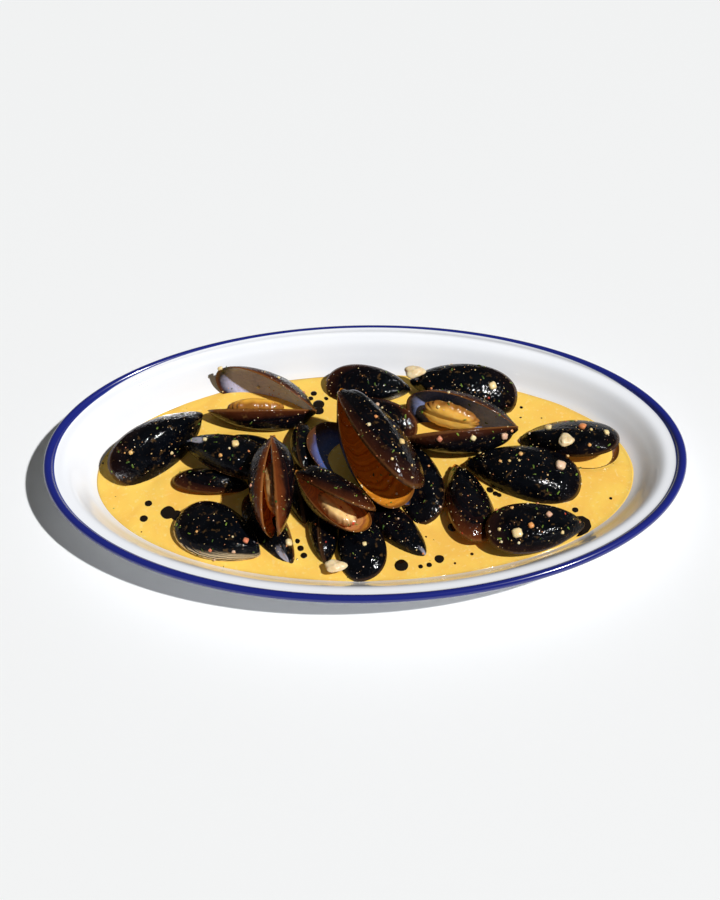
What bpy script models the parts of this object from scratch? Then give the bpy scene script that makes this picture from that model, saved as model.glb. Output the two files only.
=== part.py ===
# Steamed mussels in a herb cream sauce, piled in an oval enamelled dish with a rolled blue rim.
# Metres, +Z up. The origin is the centre of the dish's flat underside, and +X runs along the dish.
import math

import bmesh
import bpy
import numpy as np
from mathutils import Matrix, Vector
from mathutils.bvhtree import BVHTree

MM = 0.001
GAP = 0.3 * MM

# Dish: an oval of sheet steel, enamelled white, its edge rolled outwards into a bead.
DISH_HALF_LENGTH = 190 * MM
DISH_HALF_WIDTH = 103 * MM
DISH_HEIGHT = 33 * MM
BEAD_RADIUS = 2.7 * MM
SHEET = 1.6 * MM
FOOT_STEP = 0.4 * MM  # the lowest the underside comes outside the flat base
SIDE_SHARE = 0.88  # how far the wall reaches in at the long sides, against 1 at the ends
DISH_SIDES = 44
BEAD_TURNS = (-90, -35, 15, 60, 105, 150)
# Inner wall from the flange down to the floor, as inset from the outer edge and height in mm.
WALL = ((6.5, 29.9), (13, 28.3), (19, 22.5), (25, 15.8), (30, 12.1), (38, 6.7), (50, SHEET / MM))

# Sauce
SAUCE_LEVEL = 12.5 * MM
SAUCE_CLEARANCE = 0.7 * MM

# Mussel shell, as shares of its length: umbo at x = 0, far end at x = 1, hinge side at +y.
BACK_HEIGHT = 0.27
BELLY_HEIGHT = 0.23
VALVE_DEPTH = 0.162
SHELL_THICKNESS = 0.02
GROWTH_START = 0.05
HINGE_START = (0.03, 0.0)
HINGE_END = (0.42, 0.25)
# How far each valve reaches past the lip's plane, so that two join. They differ, so that no edges
# of the two meet.
HINGE_OVERLAP = {1: 0.023, -1: 0.017}
MIDDLE = 0.5
SHELL_SIDES = 13
SHELL_RINGS = 7
VALVE_SIDES = 14
VALVE_RINGS = 6

# name: x and y of the shell's middle in mm, heading, pitch and roll in degrees, length in mm, gape
# in degrees, and width against the usual. Heading runs from the umbo to the far end, pitch lifts
# the far end, and at roll 0 the hinge lies left of the heading. They are listed in the order in
# which they lie on each other, and each is lowered until it rests on the dish or on those below.
MUSSELS = {
    "gaping_front": (59, -27, -83, -2, -4, 59, 22, 1.0),
    "whole_front_right": (97, -49, -168, 6, 167, 60, 0, 1.05),
    "whole_centre": (31, -10, -86, -2, 20, 59, 0, 1.0),
    "gaping_right": (124, 18, -13, 7, -4, 61, 20, 1.1),
    "whole_right": (94, -6, -17, -2, 15, 70, 0, 1.05),
    "whole_front_tip": (18, -44, 134, 6, 172, 50, 0, 0.9),
    "whole_front_centre": (-5, -54, -85, -4, 13, 50, 0, 1.15),
    "whole_front_left": (-25, -44, -87, -4, -70, 44, 0, 1.0),
    "whole_small_front": (-57, -40, 117, 2, -20, 58, 0, 0.85),
    "broad_front_left": (-86, -47, 156, 2, 172, 55, 0, 1.3),
    "whole_low_left": (-121, -8, -95, 0, 25, 28, 0, 0.85),
    "gaping_low_left": (-92, -7, 177, 0, 188, 47, 22, 0.95),
    "whole_left": (-125, 18, -141, 1, -45, 69, 0, 1.0),
    "whole_middle": (-39, -15, -83, 1, -84, 45, 0, 0.9),
    "whole_under_back": (-68, 22, -30, 0, 20, 38, 0, 0.9),
    "whole_under_middle": (-37, 13, -85, 0, -60, 38, 0, 0.9),
    "whole_back_centre": (3, 64, 178, -2, 140, 54, 0, 1.0),
    "whole_back_middle": (10, 39, -32, -4, 40, 50, 0, 0.95),
    "whole_back_right": (62, 58, -15, -4, 40, 68, 0, 0.95),
    "open_back_left": (-62, 49, 171, 9, -105, 67, 45, 1.0),
    "open_back_right": (58, 25, 174, 3, -101, 70, 44, 1.0),
    "whole_upper_left": (-82, 4, -21, -2, 8, 56, 0, 0.95),
    "open_middle": (-20, -33, -45, 6, -33, 58, 30, 0.95),
    "gaping_upright": (-54, -28, -90, -5, -83, 65, 14, 1.0),
    "half_shell_centre": (-3, -5, 132, 4, 9, 78, 0, 1.0),
    "open_centre": (5, -3, -62, -14, -28, 79, 32, 1.0),
}
HALF_SHELLS = ("half_shell_centre",)

# mussel: x, y and size in mm of each lump of shallot or garlic stuck to it. A lump lies on top of
# the mussel wherever a line straight down at x and y meets it.
LUMPS = {
    "open_back_left": ((-88, 66, 4),),
    "whole_upper_left": ((-77, 5, 5), (-95, 9, 3)),
    "broad_front_left": ((-70, -56, 4),),
    "whole_small_front": ((-46, -54, 5),),
    "open_centre": ((20, -13, 4),),
    "whole_back_middle": ((8, 42, 3),),
    "whole_back_right": ((79, 53, 6),),
    "open_back_right": ((83, 14, 5), (64, 9, 4), (44, 8, 4)),
    "gaping_right": ((111, 22, 5), (131, 20, 5), (145, 16, 4)),
    "whole_right": ((115, -7, 7), (92, 0, 3)),
    "whole_front_right": ((85, -58, 7), (104, -46, 4), (93, -54, 4)),
    "whole_left": ((-139, 4, 3),),
    "whole_front_centre": ((-2, -60, 3),),
}
LUMP_FLATNESS = 0.6

# name: the mussel it is in, the valve it lies in, and its middle, as shares of the shell's length.
MEATS = {
    "meat_back_left": ("open_back_left", 1, (0.56, -0.04, -0.05)),
    "meat_back_right": ("open_back_right", -1, (0.60, 0.03, 0.0)),
    "meat_middle": ("open_middle", -1, (0.62, -0.03, 0.0)),
    "meat_upright": ("gaping_upright", 1, (0.56, -0.05, -0.03)),
}
MEAT_HALF_SIZE = (0.25, 0.15, 0.085)
MEAT_SIDES = 12
MEAT_RINGS = 6

# name: the mussel whose lower valve holds the sauce, how far below the lip's highest point it ends,
# in mm, and the mussel that lies in it.
POOLS = {
    "sauce_in_half_shell": ("half_shell_centre", 8.0, "open_centre"),
    "sauce_in_right_mussel": ("gaping_right", 3.6, None),
}
POOL_REACH = 0.86
POOL_CLEARANCE = 0.028

# name: x and y in mm, half sizes in mm, heading in degrees. Cut garlic lying loose on the rest.
GARLIC = {
    "garlic_back": (32, 66, (6.5, 4.5, 2.6), 20),
    "garlic_front": (-19, -70, (6.0, 4.0, 2.4), -5),
    "garlic_right": (120, 9, (5.0, 4.0, 2.0), 40),
}

DROP_FROM = 70 * MM
FIRST_STEP = 2 * MM
LAST_STEP = 0.1 * MM


def clear_scene():
    for obj in list(bpy.data.objects):
        bpy.data.objects.remove(obj, do_unlink=True)


def new_collection(name):
    made = bpy.data.collections.new(name)
    bpy.context.scene.collection.children.link(made)
    return made


def new_material(name, colour, roughness, metallic=0.0):
    made = bpy.data.materials.new(name)
    made.use_nodes = True
    shader = made.node_tree.nodes["Principled BSDF"]
    shader.inputs["Base Color"].default_value = (*colour, 1.0)
    shader.inputs["Roughness"].default_value = roughness
    shader.inputs["Metallic"].default_value = metallic
    return made


def new_object(name, bm, material, collection):
    bmesh.ops.triangulate(bm, faces=bm.faces)
    mesh = bpy.data.meshes.new(name)
    bm.to_mesh(mesh)
    bm.free()
    mesh.materials.append(material)
    mesh.shade_smooth()
    mesh.set_sharp_from_angle(angle=math.radians(50))
    obj = bpy.data.objects.new(name, mesh)
    collection.objects.link(obj)
    return obj


def combine(obj, operation, others):
    """One Boolean with every object of a collection, applied, after which those objects go."""
    joint = obj.modifiers.new(operation.lower(), "BOOLEAN")
    joint.operation = operation
    joint.operand_type = "COLLECTION"
    joint.collection = others
    graph = bpy.context.evaluated_depsgraph_get()
    graph.update()
    mesh = bpy.data.meshes.new_from_object(obj.evaluated_get(graph))
    obj.modifiers.clear()
    obj.data = mesh
    for other in list(others.objects):
        bpy.data.objects.remove(other, do_unlink=True)
    bpy.data.collections.remove(others)


def keep_largest(obj):
    """Drops the loose scraps that a cut left beside the main body."""
    bm = bmesh.new()
    bm.from_mesh(obj.data)
    left = set(bm.verts)
    bodies = []
    while left:
        reached = {left.pop()}
        edge_of = list(reached)
        while edge_of:
            vert = edge_of.pop()
            for edge in vert.link_edges:
                other = edge.other_vert(vert)
                if other not in reached:
                    reached.add(other)
                    edge_of.append(other)
        left -= reached
        bodies.append(reached)
    main_body = max(bodies, key=len)
    scraps = [vert for body in bodies if body is not main_body for vert in body]
    bmesh.ops.delete(bm, geom=scraps, context="VERTS")
    bm.to_mesh(obj.data)
    bm.free()


def oval_ring(inset, height):
    """One level ring of the dish, a given way in from its outer edge."""
    turns = np.arange(DISH_SIDES) * 2 * math.pi / DISH_SIDES
    x = (DISH_HALF_LENGTH - inset) * np.cos(turns)
    y = (DISH_HALF_WIDTH - inset * SIDE_SHARE) * np.sin(turns)
    return np.column_stack([x, y, np.full(DISH_SIDES, height)])


def loft(rings):
    """A closed solid through rings of equal count, capped at its first and last ring."""
    bm = bmesh.new()
    loops = [[bm.verts.new(point) for point in ring] for ring in rings]
    for lower, upper in zip(loops, loops[1:]):
        for i in range(len(lower)):
            j = (i + 1) % len(lower)
            bm.faces.new((lower[i], lower[j], upper[j], upper[i]))
    bm.faces.new(loops[0][::-1])
    bm.faces.new(loops[-1])
    bmesh.ops.recalc_face_normals(bm, faces=bm.faces)
    return bm


def make_dish(material, collection):
    rings = [oval_ring((WALL[-1][0] - 1) * MM, 0.0)]
    # The underside is the inner wall moved out by the sheet's thickness.
    for before, here, after in zip(WALL[-3::-1], WALL[-2:0:-1], WALL[:1:-1]):
        slope = Vector((after[0] - before[0], after[1] - before[1])).normalized()
        inset = here[0] * MM + slope.y * SHEET
        height = here[1] * MM - slope.x * SHEET
        rings.append(oval_ring(inset, max(height, FOOT_STEP)))
    bead_height = DISH_HEIGHT - BEAD_RADIUS
    rings.append(oval_ring(2.3 * BEAD_RADIUS, bead_height - 0.7 * BEAD_RADIUS))
    for turn in BEAD_TURNS:
        across = BEAD_RADIUS * math.cos(math.radians(turn))
        up = BEAD_RADIUS * math.sin(math.radians(turn))
        rings.append(oval_ring(BEAD_RADIUS - across, bead_height + up))
    for inset, height in WALL:
        rings.append(oval_ring(inset * MM, height * MM))
    return new_object("dish", loft(rings), material, collection)


def wall_inset(height):
    """How far in from the outer edge the inner wall is at a height."""
    insets = [inset for inset, _ in WALL]
    heights = [level for _, level in WALL]
    return float(np.interp(height / MM, heights[::-1], insets[::-1])) * MM


def make_sauce(material, collection):
    """The sauce up to its level, before the room for what lies in it is cut out."""
    floor = SHEET + GAP
    rings = [oval_ring(wall_inset(floor) + 2 * GAP, floor)]
    for inset, height in WALL[-2::-1]:
        if height * MM < SAUCE_LEVEL - MM:
            rings.append(oval_ring(inset * MM + 2 * GAP, height * MM))
    rings.append(oval_ring(wall_inset(SAUCE_LEVEL) + 2 * GAP, SAUCE_LEVEL))
    return new_object("sauce", loft(rings), material, collection)


def swell(x, rise, fall):
    """A hump from 0 at x = 0 to 0 at x = 1, and 1 at its top."""
    top = rise / (rise + fall)
    return x**rise * (1 - x) ** fall / (top**rise * (1 - top) ** fall)


def lip_point(turn, width):
    """A point of the lip, as shares of the length: turn 0 at the umbo, pi at the far end."""
    x = (1 - math.cos(turn)) / 2
    if math.sin(turn) >= 0:
        y = BACK_HEIGHT * swell(x, 0.8, 0.45)
    else:
        y = -BELLY_HEIGHT * swell(x, 0.7, 0.45)
    y -= 0.03 * max(0, 1 - 4 * x) ** 2
    return x, y * width


def shell_point(turn, ring, width):
    """A point of a valve's outside, ring 1 at the lip and 0 where the shell began to grow."""
    lip_x, lip_y = lip_point(turn, width)
    reach = math.hypot(lip_x - GROWTH_START, lip_y) / (1 - GROWTH_START)
    arch = swell(ring, 0.65, 0.75) if 0 < ring < 1 else 0
    belly = 1.075 - 0.225 * math.sin(turn)
    height = belly * math.sqrt(reach) * arch + 0.25 * (1 - ring) ** 4
    return (
        GROWTH_START + ring * (lip_x - GROWTH_START),
        ring * lip_y,
        VALVE_DEPTH * height,
    )


def bent_ball(sides, rings, bend):
    """A ball whose every point goes where bend(turn, ring, height) says."""
    bm = bmesh.new()
    bmesh.ops.create_uvsphere(bm, u_segments=sides, v_segments=rings, radius=1)
    for vert in bm.verts:
        ring = math.hypot(vert.co.x, vert.co.y)
        turn = math.atan2(vert.co.y, -vert.co.x)
        vert.co = bend(turn, 1.0 if ring > 0.999 else ring, vert.co.z)
    return bm


def closed_shell(length, width):
    def bend(turn, ring, height):
        x, y, z = shell_point(turn, ring, width)
        return Vector((x - MIDDLE, y, math.copysign(z, height))) * length

    return bent_ball(SHELL_SIDES, SHELL_RINGS, bend)


def valve(length, width, side, filled=False):
    """One valve. The ball's one half is its outside, and the other is folded up into its inside."""
    def bend(turn, ring, height):
        x, y, z = shell_point(turn, ring, width)
        if height * side < -1e-6:
            z = 0 if filled else max(z - SHELL_THICKNESS, 0)
        return Vector((x - MIDDLE, y, side * (z - HINGE_OVERLAP[side]))) * length

    return bent_ball(VALVE_SIDES, VALVE_RINGS, bend)


def hollow_fill(length, width):
    """What fills the hollow of a lower valve nearly up to its lip."""
    def bend(turn, ring, height):
        reach = POOL_REACH * (1 - 0.45 * max(0, math.cos(turn)))
        x, y, z = shell_point(turn, ring * reach, width)
        z = 0.006 if height > -1e-6 else max(z - SHELL_THICKNESS - POOL_CLEARANCE, 0.012)
        return Vector((x - MIDDLE, y, HINGE_OVERLAP[-1] - z)) * length

    return bent_ball(VALVE_SIDES, VALVE_RINGS, bend)


def meat_ball(length, middle):
    """A plump body, pointed a little towards the umbo and creased along its length."""
    def bend(turn, ring, height):
        x = -math.cos(turn) * ring
        y = math.sin(turn) * ring * (0.85 + 0.15 * x)
        z = height * (1 - 0.25 * max(0, 1 - 3 * abs(y)))
        spread = (x * MEAT_HALF_SIZE[0], y * MEAT_HALF_SIZE[1], z * MEAT_HALF_SIZE[2])
        return (Vector(spread) + Vector(middle) - Vector((MIDDLE, 0, 0))) * length

    return bent_ball(MEAT_SIDES, MEAT_RINGS, bend)


def hinge_turn(length, width, angle):
    """A turn about the hinge line, which lies along the front of the back."""
    start = Vector((HINGE_START[0] - MIDDLE, HINGE_START[1] * width, 0)) * length
    end = Vector((HINGE_END[0] - MIDDLE, HINGE_END[1] * width, 0)) * length
    turned = Matrix.Rotation(angle, 4, end - start)
    return Matrix.Translation(start) @ turned @ Matrix.Translation(-start)


def pose(x, y, heading, pitch, roll):
    """Place in the dish: rolled about its own length, its far end lifted, then turned."""
    return (
        Matrix.Translation((x * MM, y * MM, 0))
        @ Matrix.Rotation(math.radians(heading), 4, "Z")
        @ Matrix.Rotation(math.radians(-pitch), 4, "Y")
        @ Matrix.Rotation(math.radians(roll), 4, "X")
    )


def valve_place(name, side):
    """Where a valve of the mussel lies before it is lowered, opened by half its gape."""
    x, y, heading, pitch, roll, length, gape, width = MUSSELS[name]
    opened = hinge_turn(length * MM, width, math.radians(-side * gape / 2))
    return pose(x, y, heading, pitch, roll) @ opened


def mussel_pieces(name, filled=False):
    """The mussel's solids at height 0: one for a shut shell, one for each valve of an open one."""
    *_, length, gape, width = MUSSELS[name]
    length *= MM
    if gape == 0 and name not in HALF_SHELLS:
        pieces = {1: closed_shell(length, width)}
    else:
        sides = (-1,) if name in HALF_SHELLS else (1, -1)
        pieces = {side: valve(length, width, side, filled) for side in sides}
    for side, bm in pieces.items():
        bmesh.ops.transform(bm, matrix=valve_place(name, side), verts=bm.verts)
    return list(pieces.values())


def shift(bm, height):
    bmesh.ops.translate(bm, vec=(0, 0, height), verts=bm.verts)


def is_clear(pieces, height, placed):
    for bm in pieces:
        shift(bm, height)
        tree = BVHTree.FromBMesh(bm)
        shift(bm, -height)
        if any(tree.overlap(other) for other in placed):
            return False
    return True


def settle(name, pieces, placed):
    """Lowers the pieces straight down until they are just clear of those placed before."""
    height = DROP_FROM
    step = FIRST_STEP
    trees = [tree for _, tree in placed]
    while step > LAST_STEP:
        while is_clear(pieces, height - step, trees):
            height -= step
        step /= 2
    height += GAP
    for bm in pieces:
        shift(bm, height)
        placed.append((name, BVHTree.FromBMesh(bm)))
    return height


def add_cutter(name, bm, cutters):
    """A swollen copy, which cuts the sauce a little wide of the piece itself."""
    bm.normal_update()
    moved = [vert.co + vert.normal * SAUCE_CLEARANCE for vert in bm.verts]
    for vert, place in zip(bm.verts, moved):
        vert.co = place
    mesh = bpy.data.meshes.new(name)
    bm.to_mesh(mesh)
    bm.free()
    cutter = bpy.data.objects.new(name, mesh)
    cutter.hide_render = True
    cutter.display_type = "WIRE"
    cutters.objects.link(cutter)


def make_mussels(material, collection, cutters, placed):
    """Lays every mussel and gives the height of each."""
    heights = {}
    for name in MUSSELS:
        pieces = mussel_pieces(name)
        height = settle(name, pieces, placed)
        heights[name] = height
        print("settled", name, round(height / MM, 1))
        shell = new_object(name, pieces[0], material, collection)
        if len(pieces) > 1:
            others = new_collection(name + " other valve")
            new_object(name + " other valve", pieces[1], material, others)
            combine(shell, "UNION", others)
        for k, bm in enumerate(mussel_pieces(name, filled=True)):
            shift(bm, height)
            if min(vert.co.z for vert in bm.verts) < SAUCE_LEVEL + MM:
                add_cutter(f"room for {name} {k}", bm, cutters)
            else:
                bm.free()
    return heights


def add_lumps(material, placed):
    """Joins the lumps to the mussels that they are stuck to, where they touch nothing else."""
    for name, lumps in LUMPS.items():
        shell = bpy.data.objects[name]
        others = [tree for owner, tree in placed if owner != name]
        own = bmesh.new()
        own.from_mesh(shell.data)
        tree = BVHTree.FromBMesh(own)
        own.free()
        joined = new_collection("lumps on " + name)
        for x, y, size in lumps:
            above = Vector((x * MM, y * MM, DROP_FROM * 2))
            landing = tree.ray_cast(above, Vector((0, 0, -1)))[0]
            bm = bmesh.new()
            bmesh.ops.create_cube(bm, size=size * MM * 0.8)
            bmesh.ops.rotate(bm, matrix=Matrix.Rotation(x + y, 3, "Z"), verts=bm.verts)
            bmesh.ops.scale(bm, vec=(1, 1, LUMP_FLATNESS), verts=bm.verts)
            bmesh.ops.translate(bm, vec=landing, verts=bm.verts)
            if is_clear([bm], 0, others):
                new_object(f"lump {x} {y}", bm, material, joined)
            else:
                print("no room for the lump at", x, y, "on", name)
        combine(shell, "UNION", joined)


def make_meats(material, collection, heights):
    for name, (mussel, side, middle) in MEATS.items():
        length = MUSSELS[mussel][5] * MM
        x, y, z = middle
        bm = meat_ball(length, (x, y, side * z))
        bmesh.ops.transform(bm, matrix=valve_place(mussel, side), verts=bm.verts)
        shift(bm, heights[mussel])
        new_object(name, bm, material, collection)


def make_pools(material, collection, heights):
    """Sauce lying in open lower valves, its top level."""
    for name, (mussel, below, lying_in_it) in POOLS.items():
        *_, length, _, width = MUSSELS[mussel]
        bm = hollow_fill(length * MM, width)
        bmesh.ops.transform(bm, matrix=valve_place(mussel, -1), verts=bm.verts)
        shift(bm, heights[mussel])
        top = max(vert.co.z for vert in bm.verts) - below * MM
        everything = list(bm.verts) + list(bm.edges) + list(bm.faces)
        cut = bmesh.ops.bisect_plane(
            bm, geom=everything, plane_co=(0, 0, top), plane_no=(0, 0, 1), clear_outer=True
        )
        edges = [item for item in cut["geom_cut"] if isinstance(item, bmesh.types.BMEdge)]
        bmesh.ops.holes_fill(bm, edges=edges)
        bmesh.ops.recalc_face_normals(bm, faces=bm.faces)
        pool = new_object(name, bm, material, collection)
        if lying_in_it:
            cutters = new_collection("cutters of " + name)
            for k, piece in enumerate(mussel_pieces(lying_in_it, filled=True)):
                shift(piece, heights[lying_in_it])
                add_cutter(f"room in {name} {k}", piece, cutters)
            combine(pool, "DIFFERENCE", cutters)
            keep_largest(pool)


def make_garlic(material, collection, cutters, placed):
    for name, (x, y, half_size, heading) in GARLIC.items():
        bm = bmesh.new()
        bmesh.ops.create_uvsphere(bm, u_segments=10, v_segments=6, radius=MM)
        for vert in bm.verts:
            lobes = 1 + 0.12 * math.sin(3 * math.atan2(vert.co.y, vert.co.x) + x)
            vert.co = Vector(a * b for a, b in zip(vert.co * lobes, half_size))
        bmesh.ops.transform(bm, matrix=pose(x, y, heading, 0, 0), verts=bm.verts)
        settle(name, [bm], placed)
        if min(vert.co.z for vert in bm.verts) < SAUCE_LEVEL + MM:
            add_cutter("room for " + name, bm.copy(), cutters)
        new_object(name, bm, material, collection)


def main():
    clear_scene()
    enamel = new_material("white_enamel", (0.86, 0.88, 0.92), 0.25)
    cream = new_material("cream_sauce", (0.86, 0.50, 0.10), 0.35)
    shell = new_material("mussel_shell", (0.012, 0.014, 0.022), 0.25)
    flesh = new_material("mussel_meat", (0.85, 0.42, 0.08), 0.4)
    garlic = new_material("cut_garlic", (0.87, 0.72, 0.42), 0.45)
    parts = new_collection("steamed_mussels")
    cutters = new_collection("cutters")

    dish = make_dish(enamel, parts)
    bed = bmesh.new()
    bed.from_mesh(dish.data)
    placed = [("dish", BVHTree.FromBMesh(bed))]
    bed.free()
    heights = make_mussels(shell, parts, cutters, placed)
    add_lumps(shell, placed)
    make_meats(flesh, parts, heights)
    make_pools(cream, parts, heights)
    make_garlic(garlic, parts, cutters, placed)
    sauce = make_sauce(cream, parts)
    combine(sauce, "DIFFERENCE", cutters)
    keep_largest(sauce)


main()
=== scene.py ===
import math

import bpy
import bmesh
import numpy as np
from mathutils import Matrix, Vector, noise
from mathutils.bvhtree import BVHTree


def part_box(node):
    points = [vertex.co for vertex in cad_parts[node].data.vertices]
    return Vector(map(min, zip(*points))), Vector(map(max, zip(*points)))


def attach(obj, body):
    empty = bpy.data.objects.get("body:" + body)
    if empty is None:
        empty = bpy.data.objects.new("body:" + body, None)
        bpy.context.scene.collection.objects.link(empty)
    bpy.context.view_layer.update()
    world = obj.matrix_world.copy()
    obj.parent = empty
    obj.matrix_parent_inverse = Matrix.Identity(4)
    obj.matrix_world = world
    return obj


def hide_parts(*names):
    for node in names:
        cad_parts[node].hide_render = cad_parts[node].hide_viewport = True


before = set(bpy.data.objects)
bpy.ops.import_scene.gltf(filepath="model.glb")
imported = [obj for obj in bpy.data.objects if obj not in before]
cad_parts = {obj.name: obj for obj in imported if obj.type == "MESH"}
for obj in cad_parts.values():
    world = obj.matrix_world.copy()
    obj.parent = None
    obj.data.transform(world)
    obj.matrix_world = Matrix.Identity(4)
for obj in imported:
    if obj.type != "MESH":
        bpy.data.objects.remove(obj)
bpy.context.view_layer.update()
mm = 0.001
print("frame loaded:", len(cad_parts), "nodes")

# The camera looks down on the dish from just left of its middle.
camera = {"elevation": 52.0, "azimuth": -1.192, "distance": 0.9284, "lookAt": (-0.0028, 0.0273, 0.0),
          "lens": 60.0, "sensor": 36.0}


def addObject(name, data):
    made = bpy.data.objects.new(name, data)
    bpy.context.scene.collection.objects.link(made)
    return made


def placeCamera():
    data = bpy.data.cameras.new("camera")
    data.lens = camera["lens"]
    data.sensor_width = camera["sensor"]
    made = addObject("camera", data)
    turn, rise = math.radians(camera["azimuth"]), math.radians(camera["elevation"])
    back = Vector((math.sin(turn) * math.cos(rise), -math.cos(turn) * math.cos(rise), math.sin(rise)))
    made.location = Vector(camera["lookAt"]) + back * camera["distance"]
    made.rotation_mode = "QUATERNION"
    made.rotation_quaternion = (-back).to_track_quat("-Z", "Y")
    bpy.context.scene.camera = made


placeCamera()


# Helpers for materials

def toLinear(hexColour):
    parts = [int(hexColour[i:i + 2], 16) / 255 for i in (1, 3, 5)]
    return tuple(c / 12.92 if c <= 0.04045 else ((c + 0.055) / 1.055) ** 2.4 for c in parts) + (1.0,)


# Each input is a link from another node, a value, or a colour as "#RRGGBB"
def setInputs(tree, node, inputs):
    for socket, value in inputs.items():
        if isinstance(value, bpy.types.NodeSocket):
            tree.links.new(value, node.inputs[socket])
        else:
            node.inputs[socket].default_value = toLinear(value) if str(value)[0] == "#" else value


def addNode(tree, kind, inputs=None, **settings):
    made = tree.nodes.new(kind)
    for name, value in settings.items():
        setattr(made, name, value)
    setInputs(tree, made, inputs or {})
    return made


def startMaterial(name, inputs):
    made = bpy.data.materials.new(name)
    made.use_nodes = True
    tree = made.node_tree
    shader = tree.nodes["Principled BSDF"]
    setInputs(tree, shader, inputs)
    return made, tree, shader


# Helpers for meshes

def makeObject(name, points, faces, materials, attributes=None):
    mesh = bpy.data.meshes.new(name)
    mesh.from_pydata([tuple(p) for p in points], [], [tuple(f) for f in faces])
    for material in materials:
        mesh.materials.append(material)
    for label, values in (attributes or {}).items():
        layer = mesh.attributes.new(label, "FLOAT", "POINT")
        layer.data.foreach_set("value", np.asarray(values, np.float32).ravel())
    work = bmesh.new()
    work.from_mesh(mesh)
    bmesh.ops.recalc_face_normals(work, faces=work.faces)
    work.to_mesh(mesh)
    work.free()
    mesh.shade_smooth()
    return addObject(name, mesh)


# An object from an edit mesh, which is freed
def objectFrom(work, name, material=None, smooth=True):
    mesh = bpy.data.meshes.new(name)
    work.to_mesh(mesh)
    work.free()
    if material:
        mesh.materials.append(material)
    if smooth:
        mesh.shade_smooth()
    return addObject(name, mesh)


# Points and faces of a closed body through rows of equal count, each end drawn to one point
def closedSkin(rows):
    rowCount, columns, _ = rows.shape
    points = list(rows.reshape(-1, 3)) + [rows[0].mean(0), rows[-1].mean(0)]
    first, last = len(points) - 2, len(points) - 1
    faces = []
    for i in range(rowCount - 1):
        for j in range(columns):
            k = (j + 1) % columns
            faces.append((i * columns + j, i * columns + k, (i + 1) * columns + k, (i + 1) * columns + j))
    base = (rowCount - 1) * columns
    for j in range(columns):
        k = (j + 1) % columns
        faces.append((first, k, j))
        faces.append((last, base + j, base + k))
    return points, faces


# A row attribute, carried on to the two end points
def withPoles(values):
    flat = np.asarray(values, float)
    return np.concatenate([flat.ravel(), [flat[0].mean(), flat[-1].mean()]])


def anglesRound(count):
    return np.arange(count) * 2 * math.pi / count


def ripple(position, size):
    return noise.noise(Vector(position) / size)


def treeOf(obj):
    return BVHTree.FromPolygons([v.co for v in obj.data.vertices], [p.vertices for p in obj.data.polygons])


# Dish: pressed steel sheet under white vitreous enamel, the rolled edge dipped in cobalt blue.
dish = {
    "halfLength": 190 * mm, "halfWidth": 103 * mm, "height": 33 * mm, "bead": 2.7 * mm, "sheet": 1.6 * mm,
    "sideShare": 0.88, "around": 240, "paintFrom": -78, "paintTo": 6.4 * mm, "paintBack": 2.6 * mm,
    "wall": ((6.5, 29.9), (13, 28.3), (19, 22.5), (25, 15.8), (30, 12.1), (38, 6.7), (50, 1.6)),
    "beadFrom": -125, "beadTurn": 10, "beadPoints": 31, "wallSteps": 8, "filmReach": 5.5 * mm,
    # Insets of the foot's flat, its edge and the start of the slope above it, and that slope's lowest point
    "foot": (49 * mm, 48.5 * mm, 46 * mm), "slopeLowest": 0.4 * mm,
    "white": "#FBFCFF", "shade": "#F1F4FA", "blue": "#19237A", "blueEdge": "#2F4699", "film": "#FDF1DD",
}
sauceLevel = 12.5 * mm


# A smooth line through points in a plane
def smoothLine(points, steps):
    points = [Vector(p) for p in points]
    points = [2 * points[0] - points[1]] + points + [2 * points[-1] - points[-2]]
    line = []
    for a, b, c, d in zip(points, points[1:], points[2:], points[3:]):
        for s in range(steps):
            t = s / steps
            line.append(0.5 * (2 * b + (c - a) * t + (2 * a - 5 * b + 4 * c - d) * t * t
                               + (3 * b - a - 3 * c + d) * t ** 3))
    return line + [points[-2]]


# An oval ring at an inset from the dish's outline, or a share of that ring
def dishRing(turns, inset, height, share=1):
    x = (dish["halfLength"] - inset) * share * np.cos(turns)
    y = (dish["halfWidth"] - inset * dish["sideShare"]) * share * np.sin(turns)
    return np.column_stack([x, y, np.full(len(turns), height)])


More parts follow.
